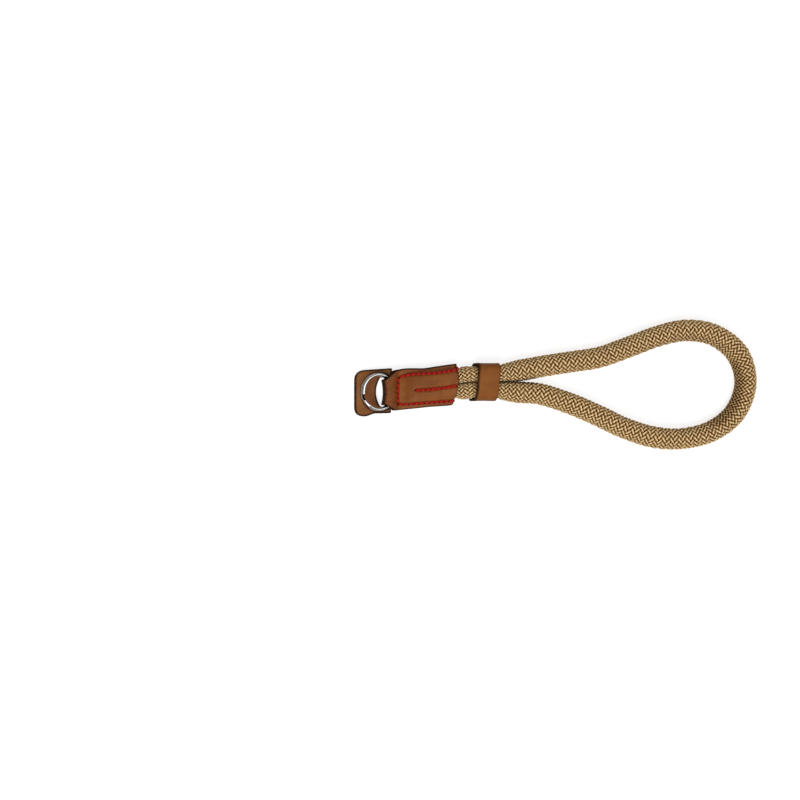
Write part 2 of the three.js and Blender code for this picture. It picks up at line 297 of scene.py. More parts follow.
def rgb(r, g, b):
    """Linear colour from sRGB 0..255."""
    def linear(value):
        v = value / 255
        return v / 12.92 if v <= 0.04045 else ((v + 0.055) / 1.055) ** 2.4
    return (linear(r), linear(g), linear(b), 1.0)


# Painted shadow of the ring, then painted shade mixed with the neck's own redder brown.
RING_SHADOW_BROWN, SHADE_AND_TONE_BROWN = rgb(84, 30, 14), rgb(84, 38, 14)
# Painted shadow line round the ring, then the red of the stitch grooves.
RING_SHADOW_LINE, GROOVE_RED = rgb(30, 11, 5), rgb(96, 18, 10)
STRAND_DULL, STRAND_WARM = rgb(150, 110, 58), rgb(184, 147, 92)
# Pale fibres, then a painted highlight on the floats' tops.
FIBRE_PALE, CREST_HIGHLIGHT = rgb(188, 150, 94), rgb(252, 222, 174)
# Yarn lines, then painted shade between the floats and in the holes.
YARN_LINE, STRAND_GAP_SHADE, PIT_SHADE = rgb(104, 61, 16), rgb(94, 51, 9), rgb(34, 12, 0)
THREAD_DARK, THREAD_RED = rgb(112, 12, 8), rgb(188, 34, 24)
PLATE, PLATE_DULL = rgb(246, 243, 238), rgb(220, 215, 208)
# Painted dark reflection on the wire's sides, then dirt with painted shade between the turns.
PLATE_SIDE_REFLECTION, PLATE_GRIME_AND_SHADE = rgb(128, 122, 114), rgb(14, 11, 9)
# Painted shade inside the stitch holes.
HOLE_SHADE_DARK, HOLE_SHADE_BROWN = rgb(30, 8, 4), rgb(48, 12, 6)


def paint_ring_shadow(n, colour, ring_shadow):
    """Painted shadow of the ring: a darker patch inside it and a dark line round its outside, on
    the side marked above.
    """
    stretch = ring_shadow["stretch"]
    middle = (ring_shadow["x"] * MM * stretch, ring_shadow["y"] * MM, 0.0)
    far = n.add("VectorMath", {0: n.place((stretch, 1.0, 0.0)), 1: middle},
                operation="DISTANCE")["Value"]
    inner, outer = ring_shadow["inner"] * MM, ring_shadow["outer"] * MM
    above = n.attribute("above")
    shadow_share = n.math("MULTIPLY", n.spread(far, inner, outer, 0.75, 0.0), above)
    colour = n.blend(shadow_share, colour, n.blend(0.6, colour, RING_SHADOW_BROWN))
    line_in = n.spread(far, inner - 0.2 * MM, inner + 0.6 * MM)
    line_out = n.spread(far, inner + 1.0 * MM, outer, 1.0, 0.0)
    line = n.math("MULTIPLY", n.math("MULTIPLY", line_in, line_out), above)
    return n.blend(n.math("MULTIPLY", line, 0.85), colour, RING_SHADOW_LINE)


def leather_material(name, light, dark, edge, ring_shadow=None):
    """Satin cowhide: fine pores, soft mottling, dark edges that are partly burnished and partly
    painted shade.
    """
    n = Nodes(bpy.data.materials.new(name))
    where = n.place()
    colour = n.blend(n.spread(n.noise(where, 130, 4, 0.6), 0.3, 0.7), dark, light)
    cloudy = n.spread(n.noise(where, 480), 0.32, 0.68, -0.3, 0.3)
    cloud = n.blend(n.spread(cloudy, -0.02, 0.02), dark, light)
    colour = n.blend(n.math("ABSOLUTE", cloudy), colour, cloud)
    grain = n.noise(where, 1500, 3, 0.6)
    colour = n.blend(n.spread(grain, 0.35, 0.75, 0.0, 0.35), colour, dark)
    # Painted shadow of the ring on the pad.
    if ring_shadow:
        colour = paint_ring_shadow(n, colour, ring_shadow)
    # painted shade in creases, on side walls, on the upper bay and the lining, with the neck's own
    # redder brown
    colour = n.blend(n.attribute("shade_and_tone"), colour, n.blend(0.3, colour, SHADE_AND_TONE_BROWN))
    colour = n.blend(n.attribute("groove"), colour, GROOVE_RED)
    # the cut edges' own dark, and painted shade on the lining, the fold's front wall and the wider
    # margins
    rim = n.attribute("edge")
    ragged = n.math("MULTIPLY", rim, n.spread(n.noise(where, 700, 2), 0.25, 0.6, 0.75, 1.0))
    gloss = n.spread(n.noise(where, 260), 0.3, 0.7, 0.43, 0.6)
    pores = n.add("TexVoronoi", {"Vector": where, "Scale": 1700, "Smoothness": 0.6},
                  feature="SMOOTH_F1")["Distance"]
    normal = n.bump(pores, 0.28, 0.00012)
    normal = n.bump(grain, 0.2, 0.00015, Normal=normal)
    normal = n.bump(n.noise(where, 190, 2), 0.35, 0.0004, Normal=normal)
    colour = n.blend(ragged, colour, edge)
    return n.surface(colour, n.math("MAXIMUM", gloss, rim), 0.12, Normal=normal)


def rope_material():
    """Tan braid: spun yarns along each strand, painted highlight on the floats and painted shade
    between them.
    """
    n = Nodes(bpy.data.materials.new("braid"))
    yarn = n.waves("Y", Scale=1.1, Distortion=2.2, Detail=2.0, Detail_Scale=1.6)
    fibre = n.noise(n.place((1.4, 9.0, 1.0), map_name="lay"), 1.6, 3, 0.6)
    crest = n.attribute("crest")
    colour = n.blend(n.attribute("tone"), STRAND_DULL, STRAND_WARM)
    colour = n.blend(n.spread(fibre, 0.3, 0.7, 0.0, 0.45), colour, FIBRE_PALE)
    colour = n.blend(n.spread(yarn, 0.0, 0.5, 0.35, 0.0), colour, YARN_LINE)
    # painted highlight on the tops of the floats
    colour = n.blend(n.spread(crest, 0.7, 0.96, 0.0, 0.85), colour, CREST_HIGHLIGHT)
    # painted shade in the gaps between the floats
    colour = n.blend(n.spread(crest, 0.16, 0.66), STRAND_GAP_SHADE, colour)
    # painted shade in the holes, where strands touch, in the keeper's mouth and inside bends
    colour = n.blend(n.spread(n.attribute("pit"), 0.0, 0.6), colour, PIT_SHADE)
    normal = n.bump(fibre, 0.4, 0.0001, Normal=n.bump(yarn, 0.45, 0.00012))
    return n.surface(colour, 0.9, 0.06, Normal=normal)


def thread_material():
    """Red thread of twisted plies."""
    n = Nodes(bpy.data.materials.new("red_thread"))
    ply = n.waves("DIAGONAL", Scale=2.0)
    colour = n.blend(n.spread(ply, 0.0, 0.8), THREAD_DARK, THREAD_RED)
    return n.surface(colour, 0.75, 0.12, Normal=n.bump(ply, 0.6, 0.0001))


def nickel_material():
    """Bright plate with fine handling marks, a painted dark reflection on the wire's sides, and
    dirt with painted shade between the turns.
    """
    n = Nodes(bpy.data.materials.new("nickel_plate"))
    where = n.place()
    marks = n.noise(where, 900, 3, 0.6)
    colour = n.blend(n.spread(marks, 0.4, 0.7), PLATE, PLATE_DULL)
    # painted dark reflection on the sides, then dirt and painted shade between the turns
    colour = n.blend(n.attribute("side"), colour, PLATE_SIDE_REFLECTION)
    colour = n.blend(n.attribute("grime_and_shade"), colour, PLATE_GRIME_AND_SHADE)
    normal = n.bump(n.noise(where, 2400, 2), 0.12, 0.00005)
    return n.surface(colour, n.spread(marks, 0.3, 0.8, 0.1, 0.3), 0.5, Metallic=1.0, Normal=normal)


def hole_shade_material():
    """Painted shade: the dark inside a stitch hole."""
    n = Nodes(bpy.data.materials.new("stitch_hole_shade"))
    return n.surface(n.blend(n.noise(n.place(), 900, 2), HOLE_SHADE_DARK, HOLE_SHADE_BROWN), 0.95, 0.03)


# -------- rope
ROPE_ROUTE = [  # x, y, z, width, height
    (-71.3, -5.73, 4.45, 6.2, 5.2), (-63, -4.82, 4.6, 6.4, 5.7), (-51.9, -3.6, 4.6, 6.4, 5.7),
    (-48.9, -3.4, 4.9, 6.9, 7.1), (-45.9, -3.05, 5.45, 7.1, 8.4), (-42, -2.87, 5.95, 7, 8.6),
    (-36.7, -2.86, 6, 7, 8.6), (-32.9, -2.86, 6, 7, 8.6), (-30.6, -3.05, 5.75, 7.5, 9),
    (-27, -3.5, 5.35, 8.7, 9.5), (-21.5, -3.95, 5.05, 9.7, 10), (-15.5, -4.25, 5, 10, 10),
    (-9.7, -5, 5, 10, 10), (4.4, -9.3, 5, 10, 10), (18.2, -15, 5, 10, 10),
    (32, -21.2, 5, 10, 10), (46.6, -25.6, 5, 10.3, 10), (62, -26.35, 5, 10, 10),
    (77.1, -22.6, 5, 10, 10), (89.2, -13.4, 5, 10, 10), (94.4, 0.5, 5, 10, 10),
    (90.4, 14.7, 5, 10.6, 10), (78.3, 23.9, 5, 10.3, 10), (63.3, 26.25, 5, 10.4, 10),
    (48.3, 23.15, 5, 10, 10), (34, 18, 5, 10, 10), (19.6, 13.05, 5, 10, 10),
    (4.7, 10.6, 5, 10, 10), (-10, 8.35, 5, 10, 10), (-15.5, 7.35, 5, 10, 10),
    (-21.5, 6.25, 5.05, 9.7, 10), (-27, 5.35, 5.35, 8.4, 9.5), (-29.6, 4.95, 5.7, 7.8, 9.1),
    (-31.7, 4.55, 5.95, 7.1, 8.7), (-36.7, 4.48, 6, 7, 8.6), (-42, 4.48, 5.95, 7, 8.6),
    (-45.9, 4.2, 5.45, 7.1, 8.4), (-48.9, 3.65, 4.9, 6.9, 7.1), (-51.4, 3.24, 4.6, 6.4, 5.7),
    (-63, 1.98, 4.6, 6.4, 5.7), (-71.3, 1.07, 4.45, 6.2, 5.2),
]
ROPE_SQUARENESS = 2.3
CURVE_STEPS, PATH_EVERY = 24, 6  # points from knot to knot; every sixth is on the cord's path

STRANDS = 14  # in each of the two directions
STRAND_ADVANCE = 2.02  # along the rope from one strand to the next
STEPS = np.array([0.0, 0.19, 0.5, 0.81, 1.0])  # points across a tile, one strand wide each way
LAST = len(STEPS) - 1
RELIEF = 0.85  # from the tops of the floats down to the lines between them
FLOAT_RISE, FLOAT_LUCK, PIT_DROP = 0.2, 0.1, 0.25  # tops above the solid, their spread, pits
RIDGE, ARCH = (2.2, 0.75), (6, 0.5)  # roundness of a float across and along
TUCK = 0.42  # height left where a float dips under the one that crosses it
SIDE = 0.2  # height left along the line between two floats that lie side by side
PIT_REACH = 0.38  # of a tile's side, how far the hole where four strands meet reaches
FIBRE_SCALE, FIBRE_SHIFT = 1.45, 40  # of the map that the spun yarns lie on

SOCKET_X, SOCKET_SQUEEZE = (-50.2, -51.5), 0.4  # the leather end presses the rope
PRESSED_X, PRESSED = (-14, -22), 0.17  # each strand swells to meet the other
SWELL_X, SWELL_HALF, SWELL = -47.3, 3.7, 0.45  # outwards between the leather end and the keeper
TOUCH_X, TOUCH_SHADE = (-11, -16), 0.5  # painted shade where the strands touch
MOUTH_X, MOUTH_SKEW, MOUTH_SHADE, KEEPER_X = (-43.5, -42.3), 0.1, 0.4, -38  # painted shade also in the keeper's mouth
BEND_X, BEND_Y, BEND_SKEW = (68, 82), (20, 11), 0.014  # painted shade inside the tight bend
# in the bend: painted shade, darker holes and a weaker painted highlight
BEND_SHADE, BEND_PITS, BEND_CREST = 0.07, 1.3, 0.09
BACK_Y, BACK_SHADE, BACK_HIGHLIGHT = (17, 22), 0.12, 0.6  # painted highlight outside the back of the loop, painted shade inside
# painted shade: the loop's far end is darker
END_X, END_SHADE = (70, 90), 0.2
FLOAT_TONE, STRAND_TONE = 0.9, 0.5  # how floats and whole strands differ
SWAY, SWAY_RUN, SWAY_TWIST = 0.05, 7.3, 11.0


def rope_line():
    """The curve through the route: points, section frame, width, height, length so far."""
    rows = np.array(ROPE_ROUTE, float)
    knots = rows[:, :3]
    knots = np.vstack([2 * knots[0] - knots[1], knots, 2 * knots[-1] - knots[-2]])
    points, sizes = [], []
    for k in range(len(rows) - 1):
        p0, p1, p2, p3 = knots[k:k + 4]
        d0, d1, d2 = (math.sqrt(np.linalg.norm(b - a)) for a, b in ((p0, p1), (p1, p2), (p2, p3)))
        t1 = ((p1 - p0) / d0 - (p2 - p0) / (d0 + d1) + (p2 - p1) / d1) * d1
        t2 = ((p2 - p1) / d1 - (p3 - p1) / (d1 + d2) + (p3 - p2) / d2) * d1
        cube = 2 * p1 - 2 * p2 + t1 + t2
        square = -3 * p1 + 3 * p2 - 2 * t1 - t2
        last = k == len(rows) - 2
        for u in np.arange(CURVE_STEPS + last) / CURVE_STEPS:
            points.append(p1 + t1 * u + square * u ** 2 + cube * u ** 3)
            sizes.append(mix(rows[k, 3:], rows[k + 1, 3:], u))
    points, sizes = np.array(points), np.array(sizes)
    tangent = unit(np.gradient(points, axis=0))
    side = unit(np.cross(UP, tangent))
    lift = unit(np.cross(tangent, side))
    return points, side, lift, sizes[:, 0], sizes[:, 1], run_along(points)


def crest_height(across, along, phase):
    """Height on the braid: 1 on top of a float, 0 where four strands meet."""
    ridge = (1 - np.abs(2 * across - 1) ** RIDGE[0]) ** RIDGE[1]
    arch = (1 - np.abs(along - 1) ** ARCH[0]) ** ARCH[1]
    at_side = (across == 0) | (across == 1)
    at_end = (along == 0) | (along == 2)
    beside_end = at_side & ((across == 0) == ((phase == 1) | (phase == 2)))
    crest = np.where(at_side, SIDE, ridge * arch)
    crest = np.where(beside_end | at_end, TUCK, crest)
    return np.where(at_side & (along == np.round(along)), 0.0, crest)


def end_caps(faces, place):
    """Triangles from each open end to one more point, the first point at the low end."""
    starts, stops = faces.ravel(), np.roll(faces, -1, axis=1).ravel()
    pairs = np.sort(np.stack([starts, stops], axis=1), axis=1)
    _, first, uses = np.unique(pairs, axis=0, return_index=True, return_counts=True)
    rim = first[uses == 1]
    at_high_end = place[starts[rim]] > place.max() / 2
    return np.stack([stops[rim], starts[rim], len(place) + at_high_end], axis=1)


def rope_tints(x, y, inward, crest, pit, tone):
    """Painted shade and highlight that the braid's material reads, with the end caps dark."""
    touch = TOUCH_SHADE * ramp(inward, 0.7, 0.95) * ramp(x, *TOUCH_X)
    mouth = MOUTH_SHADE * ramp(x - MOUTH_SKEW * y, *MOUTH_X) * (x < KEEPER_X)
    bend = ramp(inward - BEND_SKEW * y, 0.22, 0.72) * ramp(x, *BEND_X) * ramp(y, *BEND_Y)
    back = ramp(y, *BACK_Y)
    under_back = BACK_SHADE * ramp(inward, 0.3, 0.7) * back
    in_bend = bend * (BEND_SHADE + BEND_PITS * pit)
    shade = np.maximum.reduce([pit, touch, mouth, under_back, in_bend])
    # painted shade at the loop's far end, painted highlight outside its back
    tone = tone - END_SHADE * ramp(x, *END_X) * (1 - back)
    tone = np.clip(tone + BACK_HIGHLIGHT * ramp(inward, -0.2, -0.6) * back, 0, 1)
    return {
        "crest": np.append(crest * (1 - BEND_CREST * bend), (0, 0)),
        "pit": np.append(shade, (1, 1)),
        "tone": np.append(tone, (0, 0)),
    }


def make_rope():
    """A two-over-two braid: each tile of the lattice is one strand lying over another."""
    points, side, lift, width, height, run = rope_line()
    count = round(run[-1] / STRAND_ADVANCE)
    i, k, step_i, step_j = (grid.ravel() for grid in np.meshgrid(
        np.arange(STRANDS), np.arange(1, 2 * count), np.arange(LAST + 1), np.arange(LAST + 1),
        indexing="ij"))
    j = i + k
    phase = k % 4
    first_over = phase < 2
    across = np.where(first_over, STEPS[step_i], STEPS[step_j])
    along = np.where(first_over, STEPS[step_j] + phase, 1 - STEPS[step_i] + phase - 2)
    strand = np.where(first_over, i, STRANDS + j % STRANDS)
    float_row = (k - phase) // 4 * 2 + np.where(first_over, 0, 1)
    luck = rng.random((2 * STRANDS, count + 4, 3))
    luck = luck[strand, float_row % (count + 4)]
    strand_luck = rng.random(2 * STRANDS)[strand]
    crest = crest_height(across, along, phase)
    corner_gap = np.hypot(across - np.round(across), along - np.round(along))
    pit = np.clip(1 - corner_gap / PIT_REACH, 0, 1)
    top = RELIEF + FLOAT_RISE + FLOAT_LUCK * (luck[:, 0] - 0.5)
    depth = -RELIEF + crest * top - PIT_DROP * pit
    tone = 0.5 + FLOAT_TONE * (luck[:, 0] - 0.5) + STRAND_TONE * (strand_luck - 0.5)
    lay = np.stack([along, across], axis=1) * FIBRE_SCALE + luck[:, 1:] * FIBRE_SHIFT

    # Neighbouring tiles share points: the key names a point's place, with whole turns taken off.
    a, b = i + STEPS[step_i], j + STEPS[step_j]
    fine_a, fine_b, around = LAST * i + step_i, LAST * j + step_j, LAST * STRANDS
    key = np.stack([fine_a % around, fine_b - fine_a // around * around], axis=1)
    _, chosen, where = np.unique(key, axis=0, return_index=True, return_inverse=True)
    where = where.reshape(-1, LAST + 1, LAST + 1)
    angle = ((a + b) / 2)[chosen] / STRANDS * 2 * math.pi
    place = ((b - a) / 2 * (run[-1] / count))[chosen]
    crest, pit, depth, tone = crest[chosen], pit[chosen], depth[chosen], tone[chosen]

    def at(values):
        return np.interp(place, run, values)

    def frame_at(vectors):
        return np.stack([at(vectors[:, q]) for q in range(3)], axis=1)

    inward, upward = np.cos(angle), np.sin(angle)  # inward is 1 on the inner side of the loop
    middle = frame_at(points)
    x, y = middle[:, 0], middle[:, 1]
    sway = SWAY * np.sin(place / SWAY_RUN) * np.cos(angle + place / SWAY_TWIST)
    reach = depth + sway - SOCKET_SQUEEZE * ramp(x, *SOCKET_X)
    wider = PRESSED * ramp(x, *PRESSED_X)
    wider += SWELL * ramp(inward, 0, -0.5) * bump_at(x - SWELL_X, SWELL_HALF)
    out_side = signed_power(inward, ROPE_SQUARENESS) * (at(width) / 2 + reach + wider)
    out_lift = signed_power(upward, ROPE_SQUARENESS) * (at(height) / 2 + reach)
    verts = middle + unit(frame_at(side)) * out_side[:, None]
    verts += unit(frame_at(lift)) * out_lift[:, None]
    verts[:, 2] = np.maximum(verts[:, 2], 0.0)
    verts = np.vstack([verts, points[0], points[-1]])

    def corners(grid):
        """The four corners of every face, tile by tile."""
        low, high = slice(None, -1), slice(1, None)
        turns = ((low, low), (high, low), (high, high), (low, high))
        return np.stack([grid[:, p, q] for p, q in turns], axis=3)

    faces = corners(where).reshape(-1, 4)
    caps = end_caps(faces, place)
    uv = np.append(corners(lay.reshape(-1, LAST + 1, LAST + 1, 2)), np.zeros(6 * len(caps)))
    piece = make_piece("braided_rope", verts, faces.tolist() + caps.tolist(), rope_material(),
                       rope_tints(x, y, inward, crest, pit, tone), uv)
    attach(piece, "strap")
    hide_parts("rope_loop")


make_rope()

# -------- end patch
# s runs from the fold, 0, to the open end, and y across from the middle line.
PATCH_X, PATCH_Y, PATCH_SLOPE, PATCH_LENGTH = -86.8, -4.1, 0.113, 34.75
END_SLANT = math.tan(math.radians(5))
NECK_HALF, SHOULDER_START, SHOULDER_END, SHOULDER_HALF, END_HALF = 5.95, 1.3, 6.1, 9.15, 9.45
FOLD_REACH, FOLD_MID, FOLD_POWER, FOLD_BOW, FOLD_ROWS = 3.8, 4.7, 3.6, 0.8, 35
RIM, LEATHER, CROWN_FLAT, CROWN_FOOT, CROWN_POWER = 3.0, 1.2, 3.5, 7.9, 2.5
CORNER, CORNER_SPARE, END_BOW, END_BOW_HALF = 0.9, 0.2, 1.0, 7.5
SOCKET_START, SOCKET_EASE, SOCKET_HALF, SOCKET_POWER, GLUE_HALF = 14.2, 0.5, 6.95, 3.2, 0.06
TUNNEL_SECTIONS = np.array([  # s, bottom, top
    (3.8, 1.2, 8.2), (4.8, 1.25, 7.65), (6.0, 1.4, 6.7), (6.7, 2.15, 5.65), (7.3, 3.3, 4.3),
    (7.5, 3.79, 3.91),
])
PATCH_SECTIONS = np.array([  # s, bottom, top, middle of the rim, crown
    (3.8, 0.0, 9.4, 4.70, 0.0), (4.8, 0.0, 8.9, 4.45, 0.0), (5.8, 0.1, 8.1, 4.10, 0.0),
    (6.7, 0.8, 7.0, 3.85, 0.0), (7.4, 1.8, 5.9, 3.75, 0.1), (8.6, 2.1, 5.5, 3.80, 0.4),
    (10.5, 1.5, 6.3, 3.95, 0.8), (12.5, 0.7, 7.6, 4.20, 1.0), (14.5, 0.2, 8.6, 4.40, 1.0),
    (17.0, 0.0, 9.1, 4.55, 1.0), (21.0, 0.0, 9.2, 4.60, 1.0), (40.0, 0.0, 9.2, 4.60, 1.0),
])
EDGE_WAVES = [(10.5, 9.0, 0.75), (20.5, 6.0, -0.2)]  # s, half length and height, of the edge at +y
UPPER_END, UPPER_WIDER, LOWER_END, LOWER_WIDER = (26, 32), 0.1, (22, 33), 0.3
PATCH_WIDE, PATCH_STEP, ROUND_EDGE = 18.7, 0.36, 0.42  # the first two only space the points
ACROSS_FINE, ALONG_FINE = [0, 0.04, 0.12, 0.24, 0.42, 0.7], [0, 0.05, 0.14, 0.28, 0.5]
GROOVE_HALF, GROOVE_DEPTH = 1.25, 0.2
CREASE, CREASE_Y, CREASE_HALF, CREASE_START, CREASE_BELOW = 0.5, -0.7, 1.7, (14, 17), 0.8
PUCKER, PUCKER_WAVE, PUCKER_Y, PUCKER_HALF, PUCKER_START = 0.05, 2.67, 7, 2.5, (8, 10)
WRINKLES = [(2.3, 0.5, 0.9, 0, 0.6), (4.1, 0.8, 0.6, 1, 0.4)]  # across, sway, along, start, share
WRINKLE_DEPTH, WRINKLE_REACH = 0.17, 5.0

STITCH_PITCH = 2.35
STITCH_ROWS = {  # knots of each row as (s, y)
    "upper": [(8.6, 6.25), (12.5, 6.75), (19.0, 6.65), (25.2, 6.15), (35.1, 6.65)],
    "lower": [(7.7, -6.4), (12.0, -6.85), (19.0, -7.1), (33.9, -7.7)],
    "cross": [(7.5, -5.8), (7.4, 0.0), (7.9, 5.8)],
    "middle": [(15.3, -0.75), (21.5, -1.15), (28.0, -1.15), (34.6, -0.8)],
}
STITCH_RADIUS = {"upper": 0.64, "lower": 0.52, "cross": 0.56, "middle": 0.64}


def sections_at(sections, s):
    """Each further column of a table of sections, at s."""
    return [np.interp(s, sections[:, 0], column) for column in sections.T[1:]]


def patch_half(s, side=0):
    """Half the width; the cut edges, side 1 or -1, are not quite straight."""
    shoulder = np.clip((s - SHOULDER_START) / (SHOULDER_END - SHOULDER_START), 0, 1)
    body = np.clip((s - SHOULDER_END) / (PATCH_LENGTH - SHOULDER_END), 0, 1)
    upper = sum(height * bump_at(s - middle, half) for middle, half, height in EDGE_WAVES)
    upper = upper + UPPER_WIDER * ramp(s, *UPPER_END)
    lower = LOWER_WIDER * ramp(s, *LOWER_END)
    waver = np.where(side > 0, upper, np.where(side < 0, lower, 0))
    return mix(NECK_HALF, SHOULDER_HALF, shoulder) + (END_HALF - SHOULDER_HALF) * body + waver


def row_distance(s, y):
    """Distance to the nearest stitch row, on the flat of the leather."""
    return np.minimum.reduce([segment_distance(s, y, start, end)
                              for row in STITCH_ROWS.values() for start, end in zip(row, row[1:])])


def patch_levels(s, y):
    """Heights of the underside and the top behind the fold."""
    bottom, top, rim_mid, crown = sections_at(PATCH_SECTIONS, s)
    foot = np.clip((np.abs(y) - CROWN_FLAT) / (CROWN_FOOT - CROWN_FLAT), 0, 1)
    share = 1 - crown * foot ** CROWN_POWER
    crease = CREASE * bump_at(y - CREASE_Y, CREASE_HALF) * ramp(s, *CREASE_START)
    pucker = PUCKER * np.sin(s * PUCKER_WAVE) * ramp(s, *PUCKER_START)
    pucker = pucker * bump_at(np.abs(y) - PUCKER_Y, PUCKER_HALF)
    bottom_z = mix(rim_mid - RIM / 2, bottom, share) + CREASE_BELOW * crease
    return bottom_z, mix(rim_mid + RIM / 2, top, share) - crease + pucker


def patch_inside(s, y, mid):
    """Heights of the lower and upper lining: tunnel, glued middle, socket."""
    bottom, top, _, _ = sections_at(PATCH_SECTIONS, s)
    across = np.minimum(1, np.abs(y) / SOCKET_HALF) ** SOCKET_POWER
    rise = ((top - bottom) / 2 - LEATHER) * (1 - across) ** (1 / SOCKET_POWER)
    rise = np.maximum(rise * ramp(s, SOCKET_START, SOCKET_START + SOCKET_EASE), GLUE_HALF)
    low, high = sections_at(TUNNEL_SECTIONS, s)
    behind = s > TUNNEL_SECTIONS[-1, 0]
    return np.where(behind, mid - rise, low), np.where(behind, mid + rise, high)


def fold_bow(s, y):
    """How far the middle of the fold lies behind its ends."""
    across = np.minimum(1, np.abs(y) / NECK_HALF)
    return FOLD_BOW * (1 - across ** 2) * ramp(s, SHOULDER_END, 0)


def patch_end(y):
    """Where the open end is: slanting, bowed out by the rope, and with rounded corners."""
    corner = np.clip(1 - (END_HALF + CORNER_SPARE - np.abs(y)) / CORNER, 0, 1)
    rounding = CORNER * (1 - np.sqrt(1 - corner ** 2))
    bow = END_BOW * np.maximum(0, 1 - (y / END_BOW_HALF) ** 2)
    return PATCH_LENGTH + END_SLANT * y + bow - rounding


def neck_wrinkle(s, y):
    """Creases that run from the folded neck out into the shoulders."""
    spread_y = y * NECK_HALF / patch_half(s)
    wave = sum(share * np.sin(spread_y * across + sway * np.sin(s * along + start))
               for across, sway, along, start, share in WRINKLES)
    return WRINKLE_DEPTH * wave * bump_at(s - FOLD_REACH, WRINKLE_REACH)


def flat_row(share, depth, level):
    """One row of points behind the fold, on the underside, 0, or the top, 1."""
    y = share * patch_half(mix(FOLD_REACH, PATCH_LENGTH, depth), share)
    s = mix(FOLD_REACH, patch_end(y), depth)
    return np.stack([s, y, patch_levels(s, y)[level]], axis=1)


def fold_row(share, angle):
    """One row of points round the fold, from its underside to its top."""
    s = FOLD_REACH * (1 - signed_power(math.sin(angle), FOLD_POWER))
    z = FOLD_MID * (1 - signed_power(math.cos(angle), FOLD_POWER))
    y = share * patch_half(s, share)
    return np.stack([np.full_like(y, s), y, np.full_like(y, z)], axis=1)


def patch_tints(s, y, near, from_end, from_side, wrinkle):
    """Share of the dark edge colour and of the darker brown, each partly painted shade."""
    # cut edges, the dark reaching further along the upper side as painted shade
    edge = 1 - ramp(near, np.where(y > 0, 0.4, 0.15), np.where(y > 0, 1.25, 0.8))
    edge *= 1 - 0.85 * (from_end < from_side) * bump_at(y, 9)
    # painted shade on the steep front wall of the fold
    edge = np.maximum(edge, 0.92 * ramp(s, 1.4, 0.3))
    # the neck's own redder brown, with painted shade in the crease valleys
    neck = bump_at(s - 2.5, 7.0) ** 0.7 * np.clip(0.8 - 2.5 * wrinkle, 0, 1)
    # painted shade on the upper bay, which curves away from the light
    crown = 0.6 * bump_at(y - 3.0, 4.5) * ramp(s, 10, 14)
    return edge, np.maximum(neck, crown)


def make_patch():
    """The leather end, from its lower open edge round the fold to the upper one."""
    share = spaced(PATCH_WIDE, ACROSS_FINE, PATCH_STEP) / PATCH_WIDE * 2 - 1
    depth = PATCH_LENGTH - FOLD_REACH
    flat = 1 - spaced(2 * depth, ALONG_FINE, PATCH_STEP) / depth
    flat = flat[flat > 0.04]  # the fold takes over from there
    rows = [flat_row(share, f, 0) for f in flat]
    rows += [fold_row(share, angle) for angle in np.linspace(0, math.pi, FOLD_ROWS)]
    rows += [flat_row(share, f, 1) for f in flat[::-1]]
    outer = np.array(rows)
    s, y, z = (outer[..., q] for q in range(3))
    normal = -unit(np.cross(np.gradient(outer, axis=1), np.gradient(outer, axis=0)))
    behind = s > FOLD_REACH
    from_side = (1 - np.abs(share)) * patch_half(s, share)
    from_end = np.where(behind, patch_end(y) - s, PATCH_LENGTH)
    near = np.minimum(from_side, from_end)
    roll = edge_roll(near, ROUND_EDGE)
    groove = bump_at(row_distance(s, y), GROOVE_HALF) * behind
    wrinkle = neck_wrinkle(s, y)

    to_frame = np.stack([PATCH_X + fold_bow(s, y), PATCH_Y + PATCH_SLOPE * s, 0 * s], axis=2)
    skin = outer - normal * (roll + GROOVE_DEPTH * groove - wrinkle)[..., None] + to_frame
    skin[..., 2] = np.maximum(skin[..., 2], 0.0)
    mid = sum(patch_levels(np.maximum(s, FOLD_REACH), y)) / 2
    low, high = patch_inside(s, y, mid)
    ease = roll * (high - low > 1)
    flat_lining = np.stack([s, y, np.where(z > mid, high + ease, low - ease)], axis=2)
    bent_lining = outer - normal * (LEATHER - roll)[..., None]
    lining = np.where(behind[..., None], flat_lining, bent_lining) + to_frame

    edge, shade_and_tone = patch_tints(s, y, near, from_end, from_side, wrinkle)
    hide = leather_material("patch_hide", light=rgb(134, 80, 36), dark=rgb(112, 61, 25),
                            edge=rgb(24, 11, 6))
    piece = make_shell("folded_patch", skin.reshape(-1, 3), lining.reshape(-1, 3),
                       shell_faces(*s.shape), hide, edge, 0.85 * groove, shade_and_tone)
    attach(piece, "strap")
    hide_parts("end_patch")


def on_patch(s, y, upper=True, above=0.0):
    """A place on, or a little above, the top or the underside."""
    bottom, top = patch_levels(s, y)
    z = top + above if upper else bottom - above
    return np.array([PATCH_X + s, PATCH_Y + y + PATCH_SLOPE * s, z])


# -------- stitches
THREAD_SIDES, THREAD_FLATNESS = 12, 0.85
HOLE_SIDES, HOLE_RADIUS, HOLE_LIFT = 8, 0.56, -0.12
STITCH_POINTS, STITCH_GAP, STITCH_SLANT = 13, 0.36, 0.83  # from hole to thread, and to either side
STITCH_RISE, STITCH_DIP, STITCH_SIZE, STITCH_TAPER = 0.08, 0.99, 1.06, 0.26
WRAP_POINTS, WRAP_SIZE, WRAP_POWER, WRAP_SLANT, WRAP_LAY = 17, 0.85, 5.0, 0.25, 0.35
WRAP_Y, WRAP_OUT, WRAP_UP = 7.7, 0.05, 0.1  # clear of the rope, of the end and of both sides


